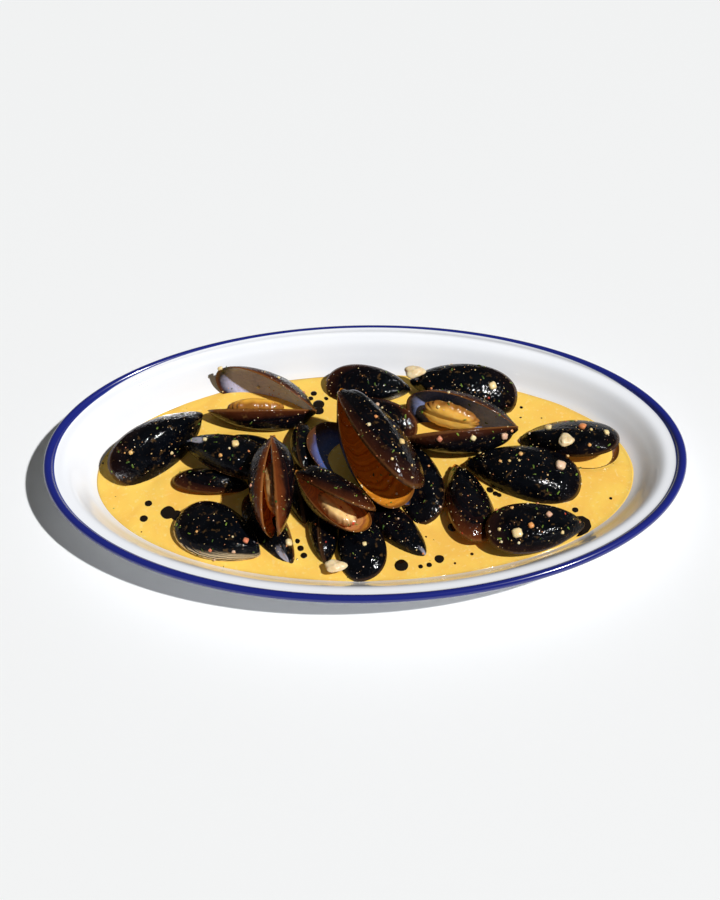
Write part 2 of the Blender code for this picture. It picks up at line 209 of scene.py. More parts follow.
def enamelMaterial():
    # Fired enamel: glassy, a little uneven, and pale yellow where a film of sauce has run down it.
    made, tree, shader = startMaterial("fired white enamel", {
        "Roughness": 0.16, "Coat Weight": 0.5, "Coat Roughness": 0.05, "IOR": 1.5})
    place = addNode(tree, "ShaderNodeTexCoord").outputs["Object"]
    paint, film = (addNode(tree, "ShaderNodeAttribute", attribute_name=label).outputs["Fac"]
                   for label in ("paint", "film"))
    # The paint's edge wavers every 11 mm, the white and the film vary every 40 mm, and the glaze every 4 mm
    waver, blotch, peel = (
        addNode(tree, "ShaderNodeTexNoise", {"Vector": place, "Scale": scale, "Detail": detail}).outputs[0]
        for scale, detail in ((90.0, 3.0), (24.0, 5.0), (260.0, 2.0)))
    white = addNode(tree, "ShaderNodeMix", {
        0: blotch, 6: dish["shade"], 7: dish["white"]}, data_type="RGBA").outputs[2]
    runs = addNode(tree, "ShaderNodeMath", {0: film, 1: blotch}, operation="MULTIPLY").outputs[0]
    filmShare = addNode(tree, "ShaderNodeMapRange", {0: runs, 1: 0.2, 2: 0.55, 3: 0.0, 4: 0.45}).outputs[0]
    wall = addNode(tree, "ShaderNodeMix", {0: filmShare, 6: white, 7: dish["film"]},
                   data_type="RGBA").outputs[2]
    edge = addNode(tree, "ShaderNodeMath", {0: waver, 1: 0.12, 2: paint}, operation="MULTIPLY_ADD").outputs[0]
    blueShare = addNode(tree, "ShaderNodeMapRange", {0: edge, 1: 0.5, 2: 0.62}).outputs[0]
    depth = addNode(tree, "ShaderNodeMapRange", {0: edge, 1: 0.55, 2: 1.0}).outputs[0]
    blue = addNode(tree, "ShaderNodeMix", {
        0: depth, 6: dish["blueEdge"], 7: dish["blue"]}, data_type="RGBA").outputs[2]
    colour = addNode(tree, "ShaderNodeMix", {0: blueShare, 6: wall, 7: blue}, data_type="RGBA").outputs[2]
    bump = addNode(tree, "ShaderNodeBump", {"Height": peel, "Strength": 0.06, "Distance": 0.4 * mm})
    setInputs(tree, shader, {"Base Color": colour, "Normal": bump.outputs[0]})
    return made


def makeDish():
    wall = smoothLine([(inset * mm, height * mm) for inset, height in dish["wall"]], dish["wallSteps"])
    outside = []
    for before, here, after in zip(wall, wall[1:], wall[2:]):
        slope = (after - before).normalized()
        outside.append((here.x + slope.y * dish["sheet"],
                        max(here.y - slope.x * dish["sheet"], dish["slopeLowest"])))
    flatStart, flatEnd, slopeStart = dish["foot"]
    outside = [(flatStart, 0.0), (flatEnd, 0.0)] + [p for p in outside[::-1] if p[0] < slopeStart]
    beadHeight = dish["height"] - dish["bead"]
    bead = []
    for k in range(dish["beadPoints"]):
        turn = math.radians(dish["beadFrom"] + k * dish["beadTurn"])
        bead.append((dish["bead"] * (1 - math.cos(turn)), beadHeight + dish["bead"] * math.sin(turn)))
    profile = outside + bead + [(p.x, p.y) for p in wall]
    turns = anglesRound(dish["around"])
    rows, paint, film = [], [], []
    for index, (inset, height) in enumerate(profile):
        rows.append(dishRing(turns, inset, height))
        onBead = index - len(outside)
        isInner = onBead >= len(bead)
        painted = (dish["paintTo"] - dish["paintBack"] * np.maximum(0, np.sin(turns)) ** 1.5 - inset) / mm
        if not isInner:
            pastStart = math.radians(dish["beadFrom"] + onBead * dish["beadTurn"] - dish["paintFrom"])
            painted = np.minimum(painted, pastStart * 2 if onBead >= 0 else -1)
        paint.append(np.clip(0.5 + painted, 0, 1))
        depth = max(0, 1 - abs(height - sauceLevel) / dish["filmReach"]) if isInner else 0
        film.append(np.full(len(turns), depth))
    points, faces = closedSkin(np.array(rows))
    made = makeObject("enamelDish", points, faces, [enamelMaterial()],
                      {"paint": withPoles(paint), "film": withPoles(film)})
    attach(made, "root")
    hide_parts("dish")


makeDish()
print("dish made")


# Mussel shells: the same growth rule as the solids, drawn finely.
shellShape = {
    "back": 0.27, "belly": 0.23, "depth": 0.162, "thickness": 0.02, "growthStart": 0.05, "middle": 0.5,
    "hingeStart": (0.03, 0.0), "hingeEnd": (0.42, 0.25), "overlap": {1: 0.023, -1: 0.017},
    # How each curve swells and falls away, how far the beak dips and stands up, and how the dome leans
    "backSwell": (0.8, 0.45), "bellySwell": (0.7, 0.45), "domeSwell": (0.65, 0.75), "beakDip": 0.03,
    "beakHeight": 0.25, "lean": (1.075, 0.225), "lipInset": 0.988, "lipThinning": 0.55, "groove": 0.975,
    "ridges": (17, 29, 47), "ridgeHeight": 0.020,
    "around": 96, "along": 38, "shutSides": 13, "shutRings": 7, "openSides": 14, "openRings": 6,
}

# Places and lengths are in mm and turns in degrees. Width is a share of the usual one, and brown, worn and
# amber say how much of each look a shell has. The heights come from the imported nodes.
musselColumns = ("x", "y", "heading", "pitch", "roll", "length", "gape", "width",
                 "brown", "worn", "amber", "seed")
mussels = {name: dict(zip(musselColumns, row)) for name, row in {
    "gaping_front": (59, -27, -83, -2, -4, 59, 22, 1.0, 0.75, 0.5, 1.0, 1),
    "whole_front_right": (97, -49, -168, 6, 167, 60, 0, 1.05, 0.3, 0.3, 0.3, 2),
    "whole_centre": (31, -10, -86, -2, 20, 59, 0, 1.0, 0.1, 0.2, 0.5, 3),
    "gaping_right": (124, 18, -13, 7, -4, 61, 20, 1.1, 0.15, 0.1, 0.4, 4),
    "whole_right": (94, -6, -17, -2, 15, 70, 0, 1.05, 0.1, 0.15, 0.3, 5),
    "whole_front_tip": (18, -44, 134, 6, 172, 50, 0, 0.9, 0.55, 0.5, 0.3, 6),
    "whole_front_centre": (-5, -54, -85, -4, 13, 50, 0, 1.15, 0.05, 0.4, 0.3, 7),
    "whole_front_left": (-25, -44, -87, -4, -70, 44, 0, 1.0, 0.1, 0.3, 0.3, 8),
    "whole_small_front": (-57, -40, 117, 2, -20, 58, 0, 0.85, 0.7, 0.9, 0.5, 9),
    "broad_front_left": (-86, -47, 156, 2, 172, 55, 0, 1.3, 0.15, 0.1, 0.3, 10),
    "whole_low_left": (-121, -8, -95, 0, 25, 28, 0, 0.85, 0.1, 1.0, 0.1, 24),
    "gaping_low_left": (-92, -7, 177, 0, 188, 47, 22, 0.95, 0.5, 0.4, 0.8, 11),
    "whole_left": (-125, 18, -141, 1, -45, 69, 0, 1.0, 0.2, 0.4, 0.6, 12),
    "whole_middle": (-39, -15, -83, 1, -84, 45, 0, 0.9, 0.15, 0.3, 0.4, 13),
    "whole_under_back": (-68, 22, -30, 0, 20, 38, 0, 0.9, 0.05, 0.2, 0.4, 25),
    "whole_under_middle": (-37, 13, -85, 0, -60, 38, 0, 0.9, 0.05, 0.1, 0.4, 26),
    "whole_back_centre": (3, 64, 178, -2, 140, 54, 0, 1.0, 0.45, 0.3, 0.3, 14),
    "whole_back_middle": (10, 39, -32, -4, 40, 50, 0, 0.95, 0.5, 0.3, 0.3, 15),
    "whole_back_right": (62, 58, -15, -4, 40, 68, 0, 0.95, 0.15, 0.5, 0.3, 16),
    "open_back_left": (-62, 49, 171, 9, -105, 67, 45, 1.0, 0.6, 0.4, 0.0, 17),
    "open_back_right": (58, 25, 174, 3, -101, 70, 44, 1.0, 0.5, 0.4, 0.0, 18),
    "whole_upper_left": (-82, 4, -21, -2, 8, 56, 0, 0.95, 0.15, 1.0, 0.3, 19),
    "open_middle": (-20, -33, -45, 6, -33, 58, 30, 0.95, 0.6, 0.5, 0.9, 20),
    "gaping_upright": (-54, -28, -90, -5, -83, 65, 14, 1.0, 0.9, 0.6, 1.0, 21),
    "half_shell_centre": (-3, -5, 132, 4, 9, 78, 0, 1.0, 0.3, 0.3, 0.1, 22),
    "open_centre": (5, -3, -62, -14, -28, 79, 32, 1.0, 0.45, 1.0, 1.0, 23),
}.items()}
halfShells = ("half_shell_centre",)
blueInside = {"half_shell_centre": 1.0, "open_back_right": 0.6, "open_back_left": 0.05}
bandedLip = {"broad_front_left": 1.0, "whole_low_left": 0.4}


def swell(x, rise, fall):
    top = rise / (rise + fall)
    x = np.clip(x, 0, 1)
    return x ** rise * (1 - x) ** fall / (top ** rise * (1 - top) ** fall)


def lipLine(turn, width):
    x = (1 - np.cos(turn)) / 2
    back = shellShape["back"] * swell(x, *shellShape["backSwell"])
    belly = -shellShape["belly"] * swell(x, *shellShape["bellySwell"])
    y = np.where(np.sin(turn) >= 0, back, belly) - shellShape["beakDip"] * np.maximum(0, 1 - 4 * x) ** 2
    return x, y * width


# Points of a valve's outside as shares of its length, ring 0 at its start and 1 at the lip
def dome(turn, ring, width):
    start = shellShape["growthStart"]
    lipX, lipY = lipLine(turn, width)
    reach = np.hypot(lipX - start, lipY) / (1 - start)
    full, lean = shellShape["lean"]
    height = (full - lean * np.sin(turn)) * np.sqrt(reach) * swell(ring, *shellShape["domeSwell"])
    height += shellShape["beakHeight"] * (1 - ring) ** 4
    return np.stack([start + ring * (lipX - start), ring * lipY, shellShape["depth"] * height], -1)


def hingeTurn(length, width, angle):
    a, b = shellShape["hingeStart"], shellShape["hingeEnd"]
    start = Vector((a[0] - shellShape["middle"], a[1] * width, 0)) * length
    end = Vector((b[0] - shellShape["middle"], b[1] * width, 0)) * length
    return Matrix.Translation(start) @ Matrix.Rotation(angle, 4, end - start) @ Matrix.Translation(-start)


def musselPlace(name, height=0.0):
    look = mussels[name]
    heading, pitch, roll = (math.radians(look[turn]) for turn in ("heading", "pitch", "roll"))
    return (Matrix.Translation((look["x"] * mm, look["y"] * mm, height)) @ Matrix.Rotation(heading, 4, "Z")
            @ Matrix.Rotation(-pitch, 4, "Y") @ Matrix.Rotation(roll, 4, "X"))


def valveSides(name):
    return (-1,) if name in halfShells else (1, -1)


def isShut(name):
    return mussels[name]["gape"] == 0 and name not in halfShells


def valvePlace(name, side, height=0.0):
    look = mussels[name]
    angle = math.radians(-side * look["gape"] / 2)
    return musselPlace(name, height) @ hingeTurn(look["length"] * mm, look["width"], angle)


def moved(points, matrix):
    turned = np.array(matrix.to_3x3())
    return points @ turned.T + np.array(matrix.translation)


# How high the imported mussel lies, from its lowest point and that of the same shape at height 0
def restHeight(name):
    length, width = mussels[name]["length"], mussels[name]["width"]
    shut = isShut(name)
    sides = shellShape["shutSides" if shut else "openSides"]
    ringCount = shellShape["shutRings" if shut else "openRings"]
    turn = math.pi - anglesRound(sides)
    ring = np.sin(np.arange(1, ringCount // 2 + 1) * math.pi / ringCount)
    turn, ring = np.meshgrid(turn, ring)
    lowest = 1.0
    for side in valveSides(name):
        points = dome(turn, ring, width).reshape(-1, 3)
        beakTop = [shellShape["growthStart"], 0, shellShape["beakHeight"] * shellShape["depth"]]
        points = np.vstack([points, [beakTop]])
        reach = 0 if shut else shellShape["overlap"][side]
        points[:, 2] = side * (points[:, 2] - reach)
        points[:, 0] -= shellShape["middle"]
        lowest = min(lowest, moved(points * length * mm, valvePlace(name, side))[:, 2].min())
    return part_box(name)[0].z - lowest


heights = {name: restHeight(name) for name in mussels}


# Low ridges where the shell stopped and started growing, in shares of its length
def growthRelief(turn, ring, seed):
    ridges = np.zeros_like(ring)
    for k, waves in enumerate(shellShape["ridges"]):
        phase = seed * 1.9 + k * 2.1
        ridges += np.sin(waves * ring ** 1.3 + phase + 0.5 * np.sin(turn * 2 + phase)) / waves
    return shellShape["ridgeHeight"] * ridges * np.clip(ring * 1.4, 0, 1) * np.clip((1 - ring) * 9, 0, 1)


def shellMaterial():
    # Wet periostracum: blue-black and glossy, worn to chalky lilac at the beak, brown near the lip with
    # painted light shining through it, and inside it blue-grey nacre, or amber with painted light shining
    # through thin shell.
    made, tree, shader = startMaterial("wet mussel shell", {
        "Specular IOR Level": 0.16, "Coat Weight": 0.08, "Coat Roughness": 0.03, "IOR": 1.5})
    place = addNode(tree, "ShaderNodeTexCoord").outputs["Object"]
    value = {label: addNode(tree, "ShaderNodeAttribute", attribute_name=label).outputs["Fac"]
             for label in ("ring", "inside", "brown", "worn", "amber", "seed", "blue", "banding")}
    # Patches of 8 mm, smears of 3 mm, beads of wet of 2 mm and specks of 1 mm
    for label, scale, detail in (
            ("patches", 130.0, 3.0), ("smears", 330.0, 3.0), ("wet", 520.0, 1.0), ("specks", 1000.0, 3.0)):
        value[label] = addNode(tree, "ShaderNodeTexNoise", {
            "Vector": place, "Scale": scale, "Detail": detail}).outputs["Fac"]
    value["warped"] = addNode(tree, "ShaderNodeMath", {0: value["patches"], 1: 0.10, 2: value["ring"]},
                              operation="MULTIPLY_ADD").outputs[0]
    along = addNode(tree, "ShaderNodeCombineXYZ", {0: value["warped"], 1: value["seed"]}).outputs[0]
    # Growth bands 2 mm apart, and the pale and dark stripes of the margin 1 mm apart
    for label, scale, detail in (("bands", 26.0, 5.0), ("striped", 55.0, 1.0)):
        value[label] = addNode(tree, "ShaderNodeTexNoise", {
            "Vector": along, "Scale": scale, "Detail": detail}, noise_dimensions="2D").outputs["Fac"]
    facing = addNode(tree, "ShaderNodeNewGeometry").outputs["Normal"]
    value["up"] = addNode(tree, "ShaderNodeSeparateXYZ", {0: facing}).outputs["Z"]
    # Each share: what it is read from, where that starts and ends, and the share's least and most
    for label, source, first, last, least, most in (
            ("growing", "ring", 0.45, 1.0, 0.0, 1.0), ("banded", "bands", 0.44, 0.62, 0.0, 1.0),
            # thin: near the lip, the shell's own brown with painted light shining through it
            ("thin", "warped", 0.88, 1.06, 0.0, 0.95), ("lip", "ring", 0.970, 0.996, 0.0, 0.75),
            ("lipTone", "brown", 0.0, 0.8, 0.15, 1.0), ("striped", "striped", 0.46, 0.54, 0.0, 1.0),
            ("margin", "warped", 0.76, 0.82, 0.0, 1.0), ("sideways", "up", 0.45, 0.25, 0.0, 1.0),
            ("beak", "ring", 0.34, 0.04, 0.0, 1.0), ("dust", "specks", 0.68, 0.76, 0.0, 0.25),
            ("smeared", "smears", 0.61, 0.73, 0.0, 0.28), ("cloud", "patches", 0.30, 0.70, 0.0, 1.0),
            ("outward", "ring", 0.20, 0.65, 0.0, 1.0), ("inky", "warped", 0.92, 1.02, 0.0, 1.0),
            ("paintedLightBands", "bands", 0.30, 0.70, 0.0, 1.0), ("gloss", "patches", 0.3, 0.7, 0.06, 0.12)):
        value[label] = addNode(tree, "ShaderNodeMapRange", {
            0: value[source], 1: first, 2: last, 3: least, 4: most}).outputs[0]
    # Shares that count only together
    for label, one, other in (
            ("rusty", "brown", "brown"), ("growing", "growing", "banded"), ("growing", "growing", "rusty"),
            ("thin", "thin", "rusty"), ("lipTone", "lip", "lipTone"), ("margin", "margin", "banding"),
            ("margin", "margin", "sideways"), ("beak", "beak", "worn"), ("beak", "beak", "patches"),
            ("deep", "blue", "outward")):
        value[label] = addNode(tree, "ShaderNodeMath", {0: value[one], 1: value[other]},
                               operation="MULTIPLY").outputs[0]
    value["chalky"] = addNode(tree, "ShaderNodeMapRange", {0: value["beak"], 1: 0.20, 2: 0.34}).outputs[0]
    # Each layer: what it lies on, how much of it shows, and its colour
    for label, under, share, over in (
            ("body", "#010205", "cloud", "#070A10"), ("body", "body", "growing", "#33130A"),
            # Near the lip the shell's own brown is brightened with painted light shining through the thin
            # edge
            ("body", "body", "thin", "#86421A"), ("body", "body", "lipTone", "#9A6534"),
            ("stripes", "#2A1A10", "striped", "#EBD3A8"), ("body", "body", "margin", "stripes"),
            ("body", "body", "chalky", "#A5A3B2"), ("body", "body", "dust", "#7C7A84"),
            ("body", "body", "smeared", "#8F6A3A"),
            ("pearl", "#F6F8FF", "outward", "#CFCDEC"), ("pearl", "pearl", "deep", "#2F5FA6"),
            ("pearl", "pearl", "dust", "#C4C8D6"), ("pearl", "pearl", "inky", "#161A28"),
            # The amber inside is partly the shell's own colour and partly painted light shining through thin
            # shell, brighter in bands
            ("amberLit", "#B5620F", "paintedLightBands", "#EFA236"), ("within", "pearl", "amber", "amberLit"),
            ("within", "within", "lip", "#5A3218"), ("shown", "body", "inside", "within")):
        value[label] = addNode(tree, "ShaderNodeMix", {
            0: value[share], 6: value.get(under, under), 7: value.get(over, over)},
            data_type="RGBA").outputs[2]
    height = addNode(tree, "ShaderNodeMath", {0: value["bands"], 1: 0.4, 2: value["wet"]},
                     operation="MULTIPLY_ADD").outputs[0]
    bump = addNode(tree, "ShaderNodeBump", {"Height": height, "Strength": 0.8, "Distance": 0.5 * mm})
    setInputs(tree, shader, {
        "Base Color": value["shown"], "Roughness": value["gloss"], "Normal": bump.outputs[0]})
    return made


shellSkin = shellMaterial()


# Rows over the outside of a valve from its start to its lip, and back over its inside
def shellRows(name, side):
    look = mussels[name]
    across, along = shellShape["around"], shellShape["along"]
    turn = anglesRound(across)
    ring = np.linspace(0.02, 1, along) ** 0.9
    turns, rings = np.meshgrid(turn, ring)
    rows = dome(turns, rings, look["width"])
    rows[..., 2] += growthRelief(turns, rings, look["seed"] + side)
    marks = np.zeros_like(rings)
    reach = 0.0
    if not isShut(name):
        inner = dome(turns, rings * shellShape["lipInset"], look["width"])
        inner[..., 2] -= shellShape["thickness"] * (1 - shellShape["lipThinning"] * rings ** 6)
        rows = np.vstack([rows, inner[::-1]])
        marks = np.vstack([marks, np.ones_like(rings)])
        rings = np.vstack([rings, rings[::-1]])
        reach = shellShape["overlap"][side]
    rows[..., 2] = side * (rows[..., 2] - reach)
    rows[..., 0] -= shellShape["middle"]
    rows *= look["length"] * mm
    rows = moved(rows.reshape(-1, 3), valvePlace(name, side, heights[name])).reshape(rows.shape)
    return rows, rings, marks


# One mesh of several objects that lie at the origin
def joinObjects(name, objects):
    work = bmesh.new()
    for obj in objects:
        work.from_mesh(obj.data)
    mesh = objects[0].data.copy()
    work.to_mesh(mesh)
    work.free()
    mesh.name = name
    for obj in objects:
        bpy.data.objects.remove(obj, do_unlink=True)
    return addObject(name, mesh)


def makeMussel(name):
    valves = [shellRows(name, side) for side in valveSides(name)]
    if isShut(name):
        # The two valves are one skin, with a groove where they meet
        (upperRows, upperRings, _), (lowerRows, lowerRings, _) = valves
        lipRow = (upperRows[-1:] + lowerRows[-1:]) / 2
        centre = lipRow.mean((0, 1))
        groove = centre + (lipRow - centre) * shellShape["groove"]
        rows = np.vstack([upperRows, groove, lowerRows[::-1]])
        rings = np.vstack([upperRings, upperRings[-1:], lowerRings[::-1]])
        valves = [(rows, rings, np.zeros_like(rings))]
    looks = {label: mussels[name][label] for label in ("brown", "worn", "amber", "seed")}
    looks["blue"], looks["banding"] = blueInside.get(name, 0), bandedLip.get(name, 0)
    skins = []
    for k, (rows, rings, marks) in enumerate(valves):
        points, faces = closedSkin(rows)
        attributes = {"ring": withPoles(rings), "inside": withPoles(marks)}
        attributes.update((label, np.full(len(points), look)) for label, look in looks.items())
        skins.append(makeObject(f"{name}Valve{k}", points, faces, [shellSkin], attributes))
    piece = joinObjects("shell_" + name, skins)
    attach(piece, "root")
    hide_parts(name)
    return piece


shells = {name: makeMussel(name) for name in mussels}
shellTrees = {name: treeOf(piece) for name, piece in shells.items()}
print("mussels made:", len(shells))


# Meat: cooked, plump and creased, with a frilled dark edge.
meats = {
    "meat_back_left": {"mussel": "open_back_left", "side": 1, "middle": (0.56, -0.04, -0.05), "warm": 1.0},
    "meat_back_right": {"mussel": "open_back_right", "side": -1, "middle": (0.60, 0.03, 0.0), "warm": 0.8},
    "meat_middle": {"mussel": "open_middle", "side": -1, "middle": (0.62, -0.03, 0.0), "warm": 0.25},
    "meat_upright": {"mussel": "gaping_upright", "side": 1, "middle": (0.56, -0.05, -0.03), "warm": 0.35},
}
meatLook = {"halfSize": (0.25, 0.15, 0.085), "around": 96, "along": 48, "crease": 0.25, "frillReach": 0.05,
            "frillLift": 0.008, "lumps": 0.5 * mm, "lumpSize": 4 * mm,
            "plump": "#FFBC46", "pale": "#FFDDA4", "frill": "#7A3C14"}


def meatMaterial():
    # Cooked mussel meat: soft orange-yellow, moist, darker along its frill.
    made, tree, shader = startMaterial("cooked mussel meat", {
        "Roughness": 0.32, "Subsurface Weight": 0.25, "Subsurface Radius": (0.004, 0.002, 0.001),
        "Subsurface Scale": 1.0, "Coat Weight": 0.3, "Coat Roughness": 0.1, "IOR": 1.45})
    place = addNode(tree, "ShaderNodeTexCoord").outputs["Object"]
    edge, warm = (addNode(tree, "ShaderNodeAttribute", attribute_name=label).outputs["Fac"]
                  for label in ("edge", "warm"))
    # Mottled every 4 mm
    mottle = addNode(tree, "ShaderNodeTexNoise", {
        "Vector": place, "Scale": 260.0, "Detail": 4.0}).outputs["Fac"]
    warmth = addNode(tree, "ShaderNodeMath", {0: mottle, 1: 0.4, 2: warm},
                     operation="MULTIPLY_ADD").outputs[0]
    share = addNode(tree, "ShaderNodeMapRange", {0: warmth, 1: 0.15, 2: 1.1}).outputs[0]
    flesh = addNode(tree, "ShaderNodeMix", {
        0: share, 6: meatLook["pale"], 7: meatLook["plump"]}, data_type="RGBA").outputs[2]
    frill = addNode(tree, "ShaderNodeMapRange", {0: edge, 1: 0.80, 2: 0.98, 3: 0.0, 4: 0.8}).outputs[0]
    colour = addNode(tree, "ShaderNodeMix", {0: frill, 6: flesh, 7: meatLook["frill"]},
                     data_type="RGBA").outputs[2]
    bump = addNode(tree, "ShaderNodeBump", {"Height": mottle, "Strength": 0.3, "Distance": 0.5 * mm})
    setInputs(tree, shader, {"Base Color": colour, "Normal": bump.outputs[0]})
    return made


meatSkin = meatMaterial()


def makeMeat(name):
    look = meats[name]
    mussel, side = look["mussel"], look["side"]
    length = mussels[mussel]["length"] * mm
    columns, rowCount = meatLook["around"], meatLook["along"]
    turn = anglesRound(columns)
    tilt = np.linspace(0.04, math.pi - 0.04, rowCount)
    turns, tilts = np.meshgrid(turn, tilt)
    ring, up = np.sin(tilts), np.cos(tilts)
    x = -np.cos(turns) * ring
    y = np.sin(turns) * ring * (0.85 + 0.15 * x)
    z = up * (1 - meatLook["crease"] * np.maximum(0, 1 - 3 * np.abs(y)))
    # Only the widest rows are frilled, in 17 waves outwards and 13 up and down
    spread = 1 + ring ** 8 * meatLook["frillReach"] * np.sin(turns * 17 + np.sin(turns * 5) * 2)
    lift = ring ** 8 * meatLook["frillLift"] * np.cos(turns * 13)
    halfX, halfY, halfZ = meatLook["halfSize"]
    rows = np.stack([x * halfX * spread, y * halfY * spread, z * halfZ + lift], -1)
    middle = look["middle"]
    rows += np.array([middle[0] - shellShape["middle"], middle[1], side * middle[2]])
    lying = moved((rows * length).reshape(-1, 3), valvePlace(mussel, side, heights[mussel]))
    points, faces = closedSkin(lying.reshape(rows.shape))
    made = makeObject("flesh_" + name, points, faces, [meatSkin], {
        "edge": withPoles(ring), "warm": np.full(len(points), look["warm"])})
    for vert in made.data.vertices:
        vert.co.z += meatLook["lumps"] * ripple(vert.co, meatLook["lumpSize"])
    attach(made, "root")
    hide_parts(name)
    return made


flesh = {name: makeMeat(name) for name in meats}
print("meats made")


# Sauce: wine and cream with oil, opaque and warm yellow.
sauce = {"level": sauceLevel, "around": 420, "rings": 84,
         "light": "#FFD262", "deep": "#F9C45A", "pale": "#FFE39A", "floor": 2.0 * mm,
         "cling": 0.9 * mm, "clingReach": 1.6 * mm, "lowRim": "gaping_right",
         # How far it reaches into the wall, how it rises there, and its slow waves
         "intoWall": 1.2 * mm, "rise": 0.5 * mm, "riseFrom": 0.985, "wave": 0.18 * mm, "waveSize": 14 * mm,
         "search": 6 * mm, "underGap": 1 * mm}


def sauceMaterial():
    # Cream sauce: opaque and smooth, with paler cream and oranger oil drawn out in swirls.
    made, tree, shader = startMaterial("cream and wine sauce", {
        "Roughness": 0.22, "Subsurface Weight": 0.12, "Subsurface Radius": (0.004, 0.002, 0.001),
        "Subsurface Scale": 1.0, "Coat Weight": 0.25, "Coat Roughness": 0.08, "IOR": 1.4})
    place = addNode(tree, "ShaderNodeTexCoord").outputs["Object"]
    # Swirls of 35 mm and specks of 2 mm
    swirl = addNode(tree, "ShaderNodeTexNoise", {
        "Vector": place, "Scale": 28.0, "Detail": 4.0, "Distortion": 1.6}).outputs["Fac"]
    speckle = addNode(tree, "ShaderNodeTexNoise", {
        "Vector": place, "Scale": 420.0, "Detail": 3.0}).outputs["Fac"]
    share = addNode(tree, "ShaderNodeMapRange", {0: swirl, 1: 0.38, 2: 0.66}).outputs[0]
    base = addNode(tree, "ShaderNodeMix", {
        0: share, 6: sauce["light"], 7: sauce["deep"]}, data_type="RGBA").outputs[2]
    grain = addNode(tree, "ShaderNodeMapRange", {0: speckle, 1: 0.58, 2: 0.72, 3: 0.0, 4: 0.5}).outputs[0]
    colour = addNode(tree, "ShaderNodeMix", {0: grain, 6: base, 7: sauce["pale"]},
                     data_type="RGBA").outputs[2]
    bump = addNode(tree, "ShaderNodeBump", {"Height": speckle, "Strength": 0.12, "Distance": 0.3 * mm})
    setInputs(tree, shader, {"Base Color": colour, "Normal": bump.outputs[0]})
    return made


sauceSkin = sauceMaterial()


def wallInset(height):
    insets = [inset for inset, _ in dish["wall"]]
    levels = [level for _, level in dish["wall"]]
    return float(np.interp(height / mm, levels[::-1], insets[::-1])) * mm


def makeSauce():
    around = anglesRound(sauce["around"])
    edge = wallInset(sauce["level"]) - sauce["intoWall"]
    # The sauce climbs the shells, and stands a little lower beside the rim that it nearly covers.
    lowRim = shellTrees[sauce["lowRim"]]
    low = [tree for name, tree in shellTrees.items()
           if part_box(name)[0].z < sauce["level"] and name != sauce["lowRim"]]
    rows = []
    for share in np.linspace(0.01, 1, sauce["rings"]) ** 0.85:
        rise = sauce["rise"] * max(0, share - sauce["riseFrom"]) / (1 - sauce["riseFrom"])
        rows.append(dishRing(around, edge, sauce["level"] + rise, share))
    rows = np.array(rows)
    for row in rows[:-1]:
        for point in row:
            spot = Vector(point)
            nearest = min((tree.find_nearest(spot, sauce["search"])[3] or 1.0) for tree in low)
            point[2] += sauce["cling"] * math.exp(-nearest / sauce["clingReach"])
            nearest = lowRim.find_nearest(spot, sauce["search"])[3] or 1.0
            point[2] -= sauce["cling"] * math.exp(-nearest / sauce["clingReach"])
            point[2] += sauce["wave"] * ripple(spot, sauce["waveSize"])
    under = []
    for inset, height in dish["wall"][-3:]:
        under.append(dishRing(around, inset * mm + sauce["underGap"], max(height * mm, sauce["floor"])))
    points, faces = closedSkin(np.vstack([rows, np.array(under)]))
    made = makeObject("creamSauce", points, faces, [sauceSkin])
    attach(made, "root")
    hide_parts("sauce")
    return made


saucePiece = makeSauce()
print("sauce made")


# Sauce lying in open lower valves: the valve that holds it, and any other shell that stands in it.
pools = {
    "sauce_in_half_shell": ("half_shell_centre", "open_centre"),
    "sauce_in_right_mussel": ("gaping_right",),
}
poolLook = {"around": 120, "rings": 26, "reach": 45 * mm, "sink": 0.4 * mm, "topBand": 0.05 * mm,
            "pastSolid": 2 * mm, "deepest": 15 * mm}


# The pool's edge is where level lines from its middle meet a shell, and its underside is the shell.
def makePool(name):
    trees = [shellTrees[mussel] for mussel in pools[name]]
    packed = [v.co.copy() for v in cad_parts[name].data.vertices]
    level = max(co.z for co in packed)
    top = [co for co in packed if co.z > level - poolLook["topBand"]]
    middle = sum(top, Vector()) / len(top)
    start = middle - Vector((0, 0, poolLook["sink"]))
    edge = []
    for turn in anglesRound(poolLook["around"]):
        along = Vector((math.cos(turn), math.sin(turn), 0))
        reach = min(tree.ray_cast(start, along, poolLook["reach"])[3] or poolLook["reach"] for tree in trees)
        limit = max((co - middle).to_2d().dot(along.to_2d()) for co in top) + poolLook["pastSolid"]
        edge.append(along * min(reach, limit))
    shares = np.linspace(0.02, 1, poolLook["rings"])
    rows = np.array([[middle + point * share for point in edge] for share in shares])
    under = rows.copy()
    for row in under:
        for point in row:
            start = Vector(point) - Vector((0, 0, poolLook["sink"] / 2))
            drop = trees[0].ray_cast(start, Vector((0, 0, -1)), poolLook["deepest"])[3] or 0.0
            point[2] -= max(drop, poolLook["sink"])
    points, faces = closedSkin(np.vstack([rows, under[::-1]]))
    made = makeObject("pool_" + name, points, faces, [sauceSkin])
    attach(made, "root")
    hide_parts(name)


for name in pools:
    makePool(name)


# Garlic: cut slices and lumps, cooked until waxy. Each has a number that gives its own form.
garlic = {"garlic_back": 20, "garlic_front": -5, "garlic_right": 40}
garlicLook = {"lobes": 0.10, "lumps": 0.16, "lumpScale": 1.7, "hollow": "#D9B070", "wax": "#FFF0CC"}


